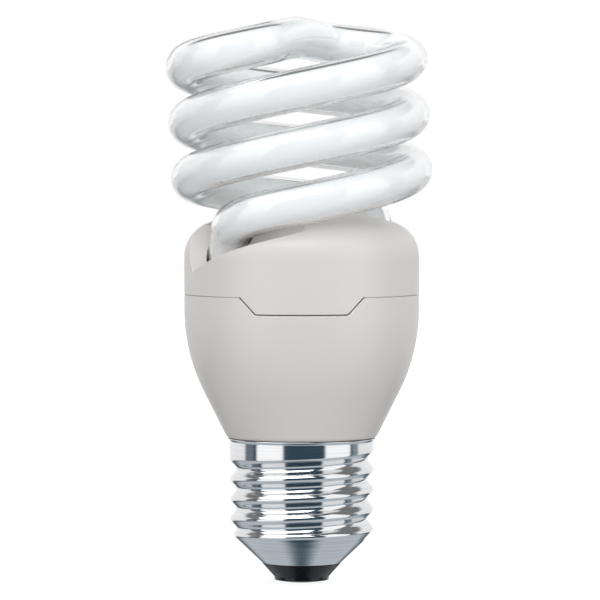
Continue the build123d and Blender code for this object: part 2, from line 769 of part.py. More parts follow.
def film_capacitor(place, size):
    """Dipped film capacitor, a rounded block on two legs."""
    body = block(place, size, board_z - size[2])
    low_edges = body.edges().filter_by(Axis.Z) + body.edges().group_by(Axis.Z)[0]
    body = fillet(low_edges, FILM_CAPACITOR_FILLET)
    return body + legs(film_legs(place, size), board_z)


def transistor(place):
    """Transistor in a small moulded case with one flat side, on three legs."""
    x, y = place
    top = board_z - TRANSISTOR_STANDOFF
    face = Circle(TRANSISTOR_WIDTH / 2)
    shift = (TRANSISTOR_DEPTH - TRANSISTOR_WIDTH) / 2
    keep = Pos(0, shift) * Rectangle(TRANSISTOR_WIDTH, TRANSISTOR_DEPTH)
    body = extrude(Plane((x, y, top - TRANSISTOR_HEIGHT)) * (face & keep), TRANSISTOR_HEIGHT)
    return body + legs(transistor_legs(place), top)


def standing_axial(place, angle, diameter, length):
    """Axial component stood on end, with its lower leg bent back up to the board."""
    low = board_z - length - AXIAL_LEG_BEND
    far = beside(place, AXIAL_LEG_SPREAD, angle)
    corners = [(*place, leg_top_z), (*place, low), (*far, low), (*far, leg_top_z)]
    loop = FilletPolyline(*corners, radius=AXIAL_LEG_BEND)
    return upright(place, diameter / 2, board_z - length, board_z) + wire(loop, leg_radius)


def toroid_core():
    """Ferrite ring of the drive transformer."""
    x, y = TOROID_PLACE
    top = board_z - DRIVE_WINDING_BUILD - FIT_CLEARANCE
    section = Circle(TOROID_DIAMETER / 2) - Circle(TOROID_BORE / 2)
    ring = extrude(Plane((x, y, top - TOROID_HEIGHT)) * section, TOROID_HEIGHT)
    return fillet(ring.edges().filter_by(GeomType.CIRCLE), TOROID_EDGE_FILLET)


def drive_winding(index):
    """Turns of wire round a sector of the ring, as one solid."""
    x, y = TOROID_PLACE
    width = (TOROID_DIAMETER - TOROID_BORE) / 2
    middle = (TOROID_DIAMETER + TOROID_BORE) / 4
    build = 2 * DRIVE_WINDING_BUILD
    gap = 2 * FIT_CLEARANCE
    inside = Rectangle(width + gap, TOROID_HEIGHT + gap)
    section = Rectangle(width + gap + build, TOROID_HEIGHT + gap + build) - inside
    centre_z = board_z - DRIVE_WINDING_BUILD - FIT_CLEARANCE - TOROID_HEIGHT / 2
    sector = revolve(Plane.XZ * Pos(middle, 0) * section, Axis.Z, DRIVE_WINDING_ARC)
    return Pos(x, y, centre_z) * Rot(0, 0, index * 360 / DRIVE_WINDING_COUNT) * sector


def lead_pin(place):
    """Square post through the board."""
    low, high = board_z - PIN_STUB, BOARD_TOP_Z + PIN_HEIGHT
    return block(place, (PIN_SIDE, PIN_SIDE, high - low), low)


def electrode_lead(place):
    """Wire from a tube end, soldered along its pin."""
    return upright(place, lead_radius, BOARD_TOP_Z + LEAD_DIAMETER, TUBE_END_Z)


def tube_cement(turn):
    """Ring of cement round a tube end, under its sleeve."""
    x, y, _ = seat(turn)
    top = SLEEVE_END_Z - FIT_CLEARANCE
    inner = tube_radius + FIT_CLEARANCE / 2
    section = Circle(inner + CEMENT_THICKNESS) - Circle(inner)
    return extrude(Plane((x, y, top - CEMENT_HEIGHT)) * section, CEMENT_HEIGHT)


def contact_lead():
    """Wire from the board down through the neck into the contact's eyelet."""
    x, y = CONTACT_LEAD_PLACE
    turn_low_z = (LEAD_TURN_Z + INSULATOR_TOP_Z) / 2
    points = [(x, y, leg_top_z), (x, y, LEAD_TURN_Z), (0, 0, turn_low_z), (0, 0, CONTACT_PLATE)]
    return wire(FilletPolyline(*points, radius=SUPPLY_WIRE_BEND), SUPPLY_WIRE_DIAMETER / 2)


def shell_lead():
    """Wire from the board down past the neck, with its end turned out to the shell."""
    x, y = SHELL_LEAD_PLACE
    reach = sqrt(shell_bore_radius**2 - y**2) - 2 * FIT_CLEARANCE
    points = [(x, y, leg_top_z), (x, y, LEAD_TURN_Z), (-reach, y, LEAD_TURN_Z)]
    return wire(FilletPolyline(*points, radius=SUPPLY_WIRE_BEND), SUPPLY_WIRE_DIAMETER / 2)


def all_parts():
    """Every piece of the lamp by its node's name."""
    parts = {
        "spiral_tube": spiral_tube(),
        "upper_housing": upper_housing(),
        "lower_housing": lower_housing(),
        "screw_shell": screw_shell(),
        "cap_insulator": cap_insulator(),
        "centre_contact": centre_contact(),
        "ballast_board": ballast_board(),
        "choke_core": choke_core(),
        "choke_bobbin": choke_bobbin(),
        "choke_winding": choke_winding(),
        "toroid_core": toroid_core(),
        "electrolytic_capacitor": electrolytic_capacitor(),
        "tube_capacitor": film_capacitor(TUBE_CAPACITOR_PLACE, TUBE_CAPACITOR_SIZE),
        "coupling_capacitor": film_capacitor(COUPLING_CAPACITOR_PLACE, COUPLING_CAPACITOR_SIZE),
        "contact_lead": contact_lead(),
        "shell_lead": shell_lead(),
    }
    for name, place, angle, diameter, length in standing_parts():
        parts[name] = standing_axial(place, angle, diameter, length)
    for i in range(DRIVE_WINDING_COUNT):
        parts[f"drive_winding_{i + 1}"] = drive_winding(i)
    for i, place in enumerate(TRANSISTOR_PLACES):
        parts[f"transistor_{i + 1}"] = transistor(place)
    for i, (pin, lead) in enumerate(lead_pin_places()):
        parts[f"lead_pin_{i + 1}"] = lead_pin(pin)
        parts[f"electrode_lead_{i + 1}"] = electrode_lead(lead)
    for i, turn in enumerate((Rot(0, 0, 0), half_turn)):
        parts[f"tube_cement_{i + 1}"] = tube_cement(turn)
    return parts


os.makedirs("parts", exist_ok=True)
for node, solid in all_parts().items():
    export_step(solid, f"parts/{node}.step")
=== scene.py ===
import json
import logging
import math
from dataclasses import dataclass, field
from enum import Enum
from typing import Iterable, Protocol, Sequence

import bmesh
import bpy
from mathutils import Matrix, Vector


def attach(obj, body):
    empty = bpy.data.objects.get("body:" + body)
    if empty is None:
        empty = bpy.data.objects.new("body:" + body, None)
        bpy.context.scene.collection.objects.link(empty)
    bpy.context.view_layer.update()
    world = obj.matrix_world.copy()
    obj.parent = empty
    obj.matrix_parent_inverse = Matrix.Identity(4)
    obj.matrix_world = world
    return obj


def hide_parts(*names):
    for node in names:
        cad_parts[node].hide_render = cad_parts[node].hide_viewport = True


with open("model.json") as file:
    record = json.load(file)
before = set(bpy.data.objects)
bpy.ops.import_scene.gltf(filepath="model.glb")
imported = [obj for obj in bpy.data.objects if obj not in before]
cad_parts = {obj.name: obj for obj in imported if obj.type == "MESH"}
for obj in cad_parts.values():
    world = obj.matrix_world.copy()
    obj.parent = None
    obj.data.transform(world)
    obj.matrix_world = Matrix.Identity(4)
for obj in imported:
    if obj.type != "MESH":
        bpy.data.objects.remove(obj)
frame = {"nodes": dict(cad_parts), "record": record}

logging.basicConfig(level=logging.INFO, format="%(name)s: %(message)s")
log = logging.getLogger("lamp")

MM = 0.001
BODY = "root"
DRAWN = "drawn"  # attribute of the tube: direction round it, and share of the way along it

Colour = tuple[float, float, float]
Socket = bpy.types.NodeSocket


class Slot(str, Enum):
    """Material slots of the record that the scene's finishes stand for."""

    TUBE = "coated_glass"
    HOUSING = "housing_plastic"
    CAP = "nickel_plate"
    INSULATOR = "black_glass"
    CONTACT = "contact_metal"
    BOARD = "board_laminate"
    FERRITE = "ferrite"
    BOBBIN = "bobbin_plastic"
    WINDING = "enamelled_wire"
    SLEEVE = "capacitor_sleeve"
    FILM = "dipped_film"
    INSULATION = "wire_insulation"
    LACQUER = "resistor_lacquer"
    EPOXY = "component_epoxy"
    CEMENT = "lamp_cement"
    TINNED = "tinned_wire"


# Shader helpers


class Tree:
    """Small wrapper that adds and links the nodes of one tree."""

    def __init__(self, tree: bpy.types.NodeTree) -> None:
        """Keep the tree that gets the nodes."""
        self.tree = tree

    def add(self, kind: str, inputs: dict | None = None, **settings: object) -> bpy.types.Node:
        """Add a node.

        Args:
            kind: Blender's node type.
            inputs: Value, or socket to link, for each input's name or index.
            settings: Attributes of the node.

        Returns:
            The new node.
        """
        node = self.tree.nodes.new(kind)
        for name, value in settings.items():
            setattr(node, name, value)
        self.fill(node, inputs or {})
        return node

    def fill(self, node: bpy.types.Node, inputs: dict) -> None:
        """Set or link a node's inputs.

        Args:
            node: The node.
            inputs: Value, or socket to link, for each input's name or index.
        """
        for name, value in inputs.items():
            if isinstance(value, Socket):
                self.tree.links.new(value, node.inputs[name])
            else:
                node.inputs[name].default_value = value

    def math(self, operation: str, *values: float | Socket) -> Socket:
        """Add a math node.

        Args:
            operation: Name of the operation.
            values: Numbers or sockets, in the order of the node's inputs.

        Returns:
            The socket with the result.
        """
        return self.add("ShaderNodeMath", dict(enumerate(values)), operation=operation).outputs[0]

    def ramp(self, value: Socket, stops: Sequence[tuple[float, Colour]]) -> Socket:
        """Add a colour ramp.

        Args:
            value: Socket that drives the ramp.
            stops: Position and colour of each stop.

        Returns:
            The socket with the colour.
        """
        node = self.add("ShaderNodeValToRGB", {0: value})
        elements = node.color_ramp.elements
        while len(elements) < len(stops):
            elements.new(0.5)
        for element, (position, colour) in zip(elements, stops):
            element.position = position
            element.color = (*colour, 1.0)
        return node.outputs[0]

    def smooth(self, value: Socket, low: float, high: float) -> Socket:
        """Add a smooth step.

        Args:
            value: Socket with the number to test.
            low: Number at which the step is 0.
            high: Number at which the step is 1.

        Returns:
            The socket with the step.
        """
        inputs = {"Value": value, "From Min": low, "From Max": high}
        return self.add("ShaderNodeMapRange", inputs, interpolation_type="SMOOTHSTEP").outputs[0]


def new_group(
    name: str, inputs: Iterable[tuple[str, str, float]], outputs: Iterable[tuple[str, str]]
) -> tuple[bpy.types.NodeTree, Tree, bpy.types.Node, bpy.types.Node]:
    """Start a shared node group.

    Args:
        name: Name of the group.
        inputs: Name, socket type and default of each input.
        outputs: Name and socket type of each output.

    Returns:
        The group, a Tree on it, its input node and its output node.
    """
    group = bpy.data.node_groups.new(name, "ShaderNodeTree")
    for label, kind, default in inputs:
        socket = group.interface.new_socket(label, in_out="INPUT", socket_type=kind)
        socket.default_value = default
    for label, kind in outputs:
        group.interface.new_socket(label, in_out="OUTPUT", socket_type=kind)
    tree = Tree(group)
    return group, tree, tree.add("NodeGroupInput"), tree.add("NodeGroupOutput")


class Groups:
    """Node groups that several finishes share."""

    FLOAT = "NodeSocketFloat"
    COLOUR = "NodeSocketColor"
    VECTOR = "NodeSocketVector"
    GRAIN_HEIGHT = 0.0002
    DRIFT_SCALE = 55.0
    LINE_SCALE = (60.0, 60.0, 5200.0)  # long round the axis, short along it
    LINE_HEIGHT = 0.0001
    HAZE_SCALE = 140.0

    def __init__(self) -> None:
        """Build each group once."""
        self.grain = self.mould_grain()
        self.rolled = self.rolled_lines()
        self.softbox = self.softbox_mask()

    def mould_grain(self) -> bpy.types.NodeTree:
        """Fine mould grain: a bump, and a slow drift of tone over the part.

        Returns:
            The group, with the outputs Normal, Drift and Grain.
        """
        group, tree, start, end = new_group(
            "mould_grain",
            [("Scale", self.FLOAT, 1800.0), ("Strength", self.FLOAT, 0.06)],
            [("Normal", self.VECTOR), ("Drift", self.FLOAT), ("Grain", self.FLOAT)],
        )
        place = tree.add("ShaderNodeTexCoord").outputs["Object"]
        fine = tree.add(
            "ShaderNodeTexNoise", {"Vector": place, "Scale": start.outputs["Scale"], "Detail": 3.0}
        )
        slow = tree.add(
            "ShaderNodeTexNoise",
            {"Vector": place, "Scale": self.DRIFT_SCALE, "Detail": 2.0, "Roughness": 0.45},
        )
        bump = tree.add(
            "ShaderNodeBump",
            {"Strength": start.outputs["Strength"], "Distance": self.GRAIN_HEIGHT, "Height": fine.outputs[0]},
        )
        tree.tree.links.new(bump.outputs[0], end.inputs["Normal"])
        tree.tree.links.new(slow.outputs[0], end.inputs["Drift"])
        tree.tree.links.new(fine.outputs[0], end.inputs["Grain"])
        return group

    def rolled_lines(self) -> bpy.types.NodeTree:
        """Marks of rolling: fine lines round the axis, with a few stronger ones, and handling haze.

        Returns:
            The group, with the outputs Normal, Lines and Haze.
        """
        group, tree, start, end = new_group(
            "rolled_lines",
            [("Strength", self.FLOAT, 0.05)],
            [("Normal", self.VECTOR), ("Lines", self.FLOAT), ("Haze", self.FLOAT)],
        )
        place = tree.add("ShaderNodeTexCoord").outputs["Object"]
        round_axis = tree.add("ShaderNodeMapping", {"Vector": place, "Scale": self.LINE_SCALE})
        lines = tree.add("ShaderNodeTexNoise", {"Vector": round_axis.outputs[0], "Scale": 1.0, "Detail": 4.0})
        haze = tree.add(
            "ShaderNodeTexNoise",
            {"Vector": place, "Scale": self.HAZE_SCALE, "Detail": 4.0, "Roughness": 0.6},
        )
        bump = tree.add(
            "ShaderNodeBump",
            {"Strength": start.outputs["Strength"], "Distance": self.LINE_HEIGHT, "Height": lines.outputs[0]},
        )
        tree.tree.links.new(bump.outputs[0], end.inputs["Normal"])
        tree.tree.links.new(lines.outputs[0], end.inputs["Lines"])
        tree.tree.links.new(haze.outputs[0], end.inputs["Haze"])
        return group

    def softbox_mask(self) -> bpy.types.NodeTree:
        """Mask of a softbox in the studio, by direction, with soft and slanted edges.

        Returns:
            The group, with the output Mask.
        """
        sizes = [("Middle", 0.0), ("Half Width", 30.0), ("Low", -10.0), ("High", 60.0)]
        sizes += [("Edge", 3.0), ("Slant", 0.0)]
        group, tree, start, end = new_group(
            "softbox_mask",
            [("Azimuth", self.FLOAT, 0.0), ("Elevation", self.FLOAT, 0.0)]
            + [(label, self.FLOAT, default) for label, default in sizes],
            [("Mask", self.FLOAT)],
        )
        get = start.outputs
        edge = get["Edge"]
        leaned = tree.math("MULTIPLY_ADD", get["Elevation"], get["Slant"], get["Azimuth"])
        off_middle = tree.math("ABSOLUTE", tree.math("SUBTRACT", leaned, get["Middle"]))
        inside = tree.math("DIVIDE", tree.math("SUBTRACT", get["Half Width"], off_middle), edge)
        above = tree.math("DIVIDE", tree.math("SUBTRACT", get["Elevation"], get["Low"]), edge)
        below = tree.math("DIVIDE", tree.math("SUBTRACT", get["High"], get["Elevation"]), edge)
        nearest = tree.math("MINIMUM", inside, tree.math("MINIMUM", above, below))
        tree.tree.links.new(tree.smooth(nearest, -1.0, 1.0), end.inputs["Mask"])
        return group


# Finishes


class Finish(Protocol):
    """Anything that can make a material."""

    def material(self, groups: Groups) -> bpy.types.Material:
        """Build the material's nodes."""


def principled(
    name: str, colour: Colour, **sockets: float
) -> tuple[bpy.types.Material, Tree, bpy.types.Node]:
    """Start a material on one principled shader.

    Args:
        name: Name of the material.
        colour: Base colour, linear.
        sockets: Constant values of the shader's sockets, with underscores for spaces.

    Returns:
        The material, a Tree on its nodes and the shader.
    """
    material = bpy.data.materials.new(name)
    material.use_nodes = True
    tree = Tree(material.node_tree)
    shader = material.node_tree.nodes["Principled BSDF"]
    shader.inputs["Base Color"].default_value = (*colour, 1.0)
    for label, value in sockets.items():
        shader.inputs[label.replace("_", " ")].default_value = value
    material.diffuse_color = (*colour, 1.0)
    return material, tree, shader


def scaled(colour: Colour, share: float) -> Colour:
    """Colour made lighter or darker by a share."""
    red, green, blue = (min(part * share, 1.0) for part in colour)
    return red, green, blue


@dataclass(frozen=True)
class MouldedFinish:
    """Moulded plastic, lacquer or coating with a fine grain."""

    name: str
    colour: Colour
    roughness: float = 0.45
    grain_scale: float = 1800.0
    grain_strength: float = 0.06
    drift: float = 0.03
    specular: float = 0.5
    coat: float = 0.0
    coat_roughness: float = 0.12
    roughness_spread: float = 0.08

    def material(self, groups: Groups) -> bpy.types.Material:
        """Build the material.

        Args:
            groups: Shared node groups.

        Returns:
            The material.
        """
        material, tree, shader = principled(
            self.name,
            self.colour,
            Specular_IOR_Level=self.specular,
            Coat_Weight=self.coat,
            Coat_Roughness=self.coat_roughness,
        )
        grain = tree.add("ShaderNodeGroup", node_tree=groups.grain)
        grain.inputs["Scale"].default_value = self.grain_scale
        grain.inputs["Strength"].default_value = self.grain_strength
        stops = [(0.3, scaled(self.colour, 1 - self.drift)), (0.7, scaled(self.colour, 1 + self.drift))]
        link = tree.tree.links.new
        link(tree.ramp(grain.outputs["Drift"], stops), shader.inputs["Base Color"])
        smoothest = self.roughness - self.roughness_spread / 2
        rough = tree.math("MULTIPLY_ADD", grain.outputs["Grain"], self.roughness_spread, smoothest)
        link(rough, shader.inputs["Roughness"])
        link(grain.outputs["Normal"], shader.inputs["Normal"])
        return material


@dataclass(frozen=True)
class MetalFinish:
    """Rolled, plated or drawn metal."""

    name: str
    colour: Colour
    roughness: float = 0.12
    line_strength: float = 0.05
    haze: float = 0.06
    dull_share: float = 0.93
    bright_share: float = 1.04

    def material(self, groups: Groups) -> bpy.types.Material:
        """Build the material.

        Args:
            groups: Shared node groups.

        Returns:
            The material.
        """
        material, tree, shader = principled(self.name, self.colour, Metallic=1.0)
        rolled = tree.add("ShaderNodeGroup", node_tree=groups.rolled)
        rolled.inputs["Strength"].default_value = self.line_strength
        stops = [(0.35, scaled(self.colour, self.dull_share)), (0.65, scaled(self.colour, self.bright_share))]
        link = tree.tree.links.new
        link(tree.ramp(rolled.outputs["Lines"], stops), shader.inputs["Base Color"])
        rough = tree.math("MULTIPLY_ADD", rolled.outputs["Haze"], self.haze, self.roughness - self.haze / 2)
        link(rough, shader.inputs["Roughness"])
        link(rolled.outputs["Normal"], shader.inputs["Normal"])
        return material


@dataclass(frozen=True)
class GlassFinish:
    """Clear drawn glass, with faint draw lines along the tube."""

    name: str = "clear_glass"
    colour: Colour = (0.985, 0.992, 0.995)
    ior: float = 1.5
    draw_scale: tuple[float, float, float] = (4.0, 4.0, 9.0)
    draw_strength: float = 0.04
    draw_height: float = 0.0002

    def material(self, groups: Groups) -> bpy.types.Material:
        """Build the material.

        Args:
            groups: Shared node groups.

        Returns:
            The material.
        """
        material, tree, shader = principled(
            self.name, self.colour, Roughness=0.0, IOR=self.ior, Transmission_Weight=1.0
        )
        drawn = tree.add("ShaderNodeAttribute", attribute_name=DRAWN).outputs["Vector"]
        spread = tree.add("ShaderNodeMapping", {"Vector": drawn, "Scale": self.draw_scale})
        draw = tree.add("ShaderNodeTexNoise", {"Vector": spread.outputs[0], "Scale": 1.0, "Detail": 2.0})
        bump = tree.add(
            "ShaderNodeBump",
            {"Strength": self.draw_strength, "Distance": self.draw_height, "Height": draw.outputs[0]},
        )
        tree.tree.links.new(bump.outputs[0], shader.inputs["Normal"])
        self.let_light_through(tree, shader)
        return material

    def let_light_through(self, tree: Tree, shader: bpy.types.Node) -> None:
        """Let the light that falls on the coating pass the thin wall straight.

        Args:
            tree: The material's nodes.
            shader: Its glass shader.
        """
        rays = tree.add("ShaderNodeLightPath").outputs
        straight = tree.math("MAXIMUM", rays["Is Shadow Ray"], rays["Is Diffuse Ray"])
        clear = tree.add("ShaderNodeBsdfTransparent")
        mixed = tree.add("ShaderNodeMixShader", {0: straight, 1: shader.outputs[0], 2: clear.outputs[0]})
        tree.tree.links.new(mixed.outputs[0], tree.tree.nodes["Material Output"].inputs["Surface"])


@dataclass(frozen=True)
class PhosphorFinish:
    """Powder coating on the inside of the tube, greyer towards its electrodes."""

    name: str = "phosphor_powder"
    colour: Colour = (0.93, 0.945, 0.955)
    end_colour: Colour = (0.8, 0.8, 0.79)
    roughness: float = 0.9
    specular: float = 0.1
    grain_scale: float = 2600.0
    grain_strength: float = 0.03
    worn_from: float = 0.47  # share of the tube's length from its middle
    worn_to: float = 0.51
    worn_waver: float = 0.02

    def material(self, groups: Groups) -> bpy.types.Material:
        """Build the material.

        Args:
            groups: Shared node groups.

        Returns:
            The material.
        """
        material, tree, shader = principled(
            self.name, self.colour, Roughness=self.roughness, Specular_IOR_Level=self.specular
        )
        grain = tree.add("ShaderNodeGroup", node_tree=groups.grain)
        grain.inputs["Scale"].default_value = self.grain_scale
        grain.inputs["Strength"].default_value = self.grain_strength
        drawn = tree.add("ShaderNodeAttribute", attribute_name=DRAWN).outputs["Vector"]
        along = tree.add("ShaderNodeSeparateXYZ", {0: drawn}).outputs[2]
        from_middle = tree.math("ABSOLUTE", tree.math("SUBTRACT", along, 0.5))
        worn = tree.math("MULTIPLY_ADD", grain.outputs["Drift"], self.worn_waver, from_middle)
        link = tree.tree.links.new
        stops = [(self.worn_from, self.colour), (self.worn_to, self.end_colour)]
        link(tree.ramp(worn, stops), shader.inputs["Base Color"])
        link(grain.outputs["Normal"], shader.inputs["Normal"])
        return material


FINISHES: dict[Slot, Finish] = {
    Slot.HOUSING: MouldedFinish("satin_housing", (0.7, 0.675, 0.65), 0.36, 2200.0, 0.05, 0.012, 0.6),
    Slot.CAP: MetalFinish("bright_nickel", (0.74, 0.75, 0.76), 0.1, 0.03, 0.04),
    Slot.INSULATOR: MouldedFinish(
        "vitrified_black", (0.006, 0.007, 0.009), 0.2, 700.0, 0.05, 0.1, specular=0.25, coat=0.15
    ),
    Slot.CONTACT: MetalFinish("tinned_contact", (0.72, 0.7, 0.67), 0.3, 0.12, 0.15),
    Slot.BOARD: MouldedFinish("paper_laminate", (0.45, 0.3, 0.12), 0.55, 900.0, 0.12, 0.12),
    Slot.FERRITE: MouldedFinish("ground_ferrite", (0.05, 0.05, 0.055), 0.6, 2600.0, 0.25, 0.15),
    Slot.BOBBIN: MouldedFinish("bobbin_nylon", (0.04, 0.04, 0.045), 0.5),
    Slot.WINDING: MetalFinish("enamelled_copper", (0.6, 0.24, 0.09), 0.28, 0.5, 0.1),
    Slot.SLEEVE: MouldedFinish("shrunk_sleeve", (0.02, 0.03, 0.1), 0.25, 900.0, 0.05, 0.05, coat=0.3),
    Slot.FILM: MouldedFinish("dipped_coating", (0.4, 0.07, 0.025), 0.2, 500.0, 0.12, 0.08, coat=0.5),
    Slot.INSULATION: MouldedFinish("wire_sheath", (0.75, 0.74, 0.7), 0.5),
    Slot.LACQUER: MouldedFinish("resistor_lacquer", (0.18, 0.3, 0.26), 0.4, 1200.0, 0.1, 0.06),
    Slot.EPOXY: MouldedFinish("moulded_epoxy", (0.025, 0.025, 0.028), 0.55, 2400.0, 0.15, 0.1),
    Slot.CEMENT: MouldedFinish("set_cement", (0.8, 0.78, 0.72), 0.85, 1500.0, 0.4, 0.06),
    Slot.TINNED: MetalFinish("tinned_lead", (0.66, 0.66, 0.65), 0.25, 0.08, 0.1),
}


# Mesh helpers


def new_piece(
    name: str, mesh: bmesh.types.BMesh, material: bpy.types.Material
) -> bpy.types.Object:
    """Make a piece that rides on the lamp from a finished mesh.

    Args:
        name: Name of the piece.
        mesh: Its mesh, in metres in the row's frame; freed here.
        material: Its material.

    Returns:
        The new object.
    """
    for face in mesh.faces:
        face.smooth = True
    data = bpy.data.meshes.new(name)
    mesh.to_mesh(data)
    mesh.free()
    data.materials.append(material)
    piece = bpy.data.objects.new(name, data)
    bpy.context.scene.collection.objects.link(piece)
    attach(piece, BODY)
    log.info("%s: %d faces", name, len(data.polygons))
    return piece


# Sub-assemblies


@dataclass(frozen=True)
class SpiralPath:
    """Centre line of the wound tube in millimetres, from its front end over the bridge to its back end."""

    coil_radius: float = 20.0
    pitch: float = 20.2
    bridge_z: float = 99.4
    lean: float = 2.7
    lean_pivot_z: float = 74.5
    bridge_azimuth: float = 15.0
    bend_radius: float = 8.4
    ease_length: float = 13.6
    ease_power: float = 1.5
    coil_turn: float = 483.0
    seat_azimuth: float = 204.0
    seat_radius: float = 14.4
    seat_z: float = 57.5
    end_z: float = 51.8
    step: float = 0.9

    @property
    def offset_angle(self) -> float:
        """Angle in radians between the bridge's straight and the line to its bend's centre."""
        return math.asin(self.bend_radius / (self.coil_radius - self.bend_radius))

    @property
    def straight(self) -> float:
        """Length of half the bridge's straight."""
        return math.sqrt(self.coil_radius**2 - 2 * self.coil_radius * self.bend_radius)

    @property
    def bend_length(self) -> float:
        """Length of one of the bridge's bends, in plan."""
        return self.bend_radius * (math.pi / 2 + self.offset_angle)

    @property
    def strand_length(self) -> float:
        """Length of a strand in plan, from the middle of the bridge to where it bends down."""
        return self.straight + self.bend_length + self.coil_radius * math.radians(self.coil_turn)

    def fallen(self, s: float) -> float:
        """Length along which the strand has fallen at its full slope, eased in from level."""
        share = min(s / self.ease_length, 1.0)
        return self.ease_length * share**self.ease_power / self.ease_power + max(s - self.ease_length, 0.0)

    def strand_point(self, s: float) -> Vector:
        """Point of the front strand as it stands.

        Args:
            s: Length in plan from the middle of the bridge.

        Returns:
            The point, leaned as the glass is.
        """
        z = self.bridge_z - self.pitch / (2 * math.pi * self.coil_radius) * self.fallen(s)
        azimuth = math.radians(self.bridge_azimuth)
        if s <= self.straight:
            point = polar(azimuth + self.offset_angle, s)
        elif s <= self.straight + self.bend_length:
            turn = azimuth + math.pi / 2 + self.offset_angle - (s - self.straight) / self.bend_radius
            point = polar(azimuth, self.coil_radius - self.bend_radius) + polar(turn, self.bend_radius)
        else:
            turn = azimuth - (s - self.straight - self.bend_length) / self.coil_radius
            point = polar(turn, self.coil_radius)
        point.z = z
        return point

    def leaned(self, point: Vector) -> Vector:
        """Point tilted with the wound glass, about a level line near its foot."""
        pivot = Vector((0, 0, self.lean_pivot_z))
        return Matrix.Rotation(-math.radians(self.lean), 3, "Y") @ (point - pivot) + pivot

    def end_points(self, points: Sequence[Vector], turn: Matrix) -> list[Vector]:
        """Points of the bend from the coil down to a seat, and of the straight stem below it.

        Args:
            points: Points of the strand that ends there.
            turn: Half turn for the back strand, or none.

        Returns:
            The points after the strand's last one.
        """
        seat = turn @ polar(math.radians(self.seat_azimuth), self.seat_radius, self.seat_z)
        heading = (points[-1] - points[-2]).normalized()
        found = joined_arcs(points[-1], heading, seat, Vector((0, 0, -1)), self.step)
        count = math.ceil((self.seat_z - self.end_z) / self.step)
        drop = self.end_z - self.seat_z
        return found + [seat + Vector((0, 0, drop * (i + 1) / count)) for i in range(count)]

    def points(self) -> list[Vector]:
        """All points of the centre line.

        Returns:
            The points, from the front end to the back end.
        """
        count = math.ceil(self.strand_length / self.step)
        strand = [self.strand_point(self.strand_length * i / count) for i in range(count + 1)]
        halves = []
        for angle in (0.0, math.pi):
            turn = Matrix.Rotation(angle, 3, "Z")
            half = [self.leaned(turn @ point) for point in strand]
            halves.append(half + self.end_points(half, turn))
        front, back = halves
        return front[::-1] + back[1:]


def polar(angle: float, distance: float, z: float = 0.0) -> Vector:
    """Point at an angle in radians and a distance from the axis."""
    return Vector((distance * math.cos(angle), distance * math.sin(angle), z))


def arc_points(start: Vector, heading: Vector, end: Vector, step: float) -> list[Vector]:
    """Points on the arc that leaves a start along a heading and passes through an end.

    Args:
        start: Where the arc starts.
        heading: Its direction there.
        end: Where it ends.
        step: Spacing of the points.

    Returns:
        The points after the start.
    """
    chord = end - start
    along = chord.dot(heading)
    aside = chord - heading * along
    if aside.length < 1e-9:
        return [end]
    inward = aside.normalized()
    radius = chord.length_squared / (2 * aside.length)
    angle = 2 * math.atan2(aside.length, along)
    count = max(math.ceil(radius * angle / step), 2)
    centre = start + inward * radius
    turns = [angle * (i + 1) / count for i in range(count)]
    return [centre - inward * (radius * math.cos(t)) + heading * (radius * math.sin(t)) for t in turns]


def joined_arcs(
    start: Vector, heading: Vector, end: Vector, end_heading: Vector, step: float
) -> list[Vector]:
    """Points on two tangent arcs between two places.

    Args:
        start: Where the first arc starts.
        heading: Its direction there.
        end: Where the second arc ends.
        end_heading: Its direction there.
        step: Spacing of the points.

    Returns:
        The points after the start.
    """
    across = end - start
    along = across.dot(heading + end_heading)
    bend = 2 * (1 - heading.dot(end_heading))
    reach = across.length_squared / (along + math.sqrt(along**2 + bend * across.length_squared))
    joint = (start + end + (heading - end_heading) * reach) / 2
    first = arc_points(start, heading, joint, step)
    chord = (joint - start).normalized()
    turned = (chord * (2 * heading.dot(chord)) - heading).normalized()
    return first + arc_points(joint, turned, end, step)


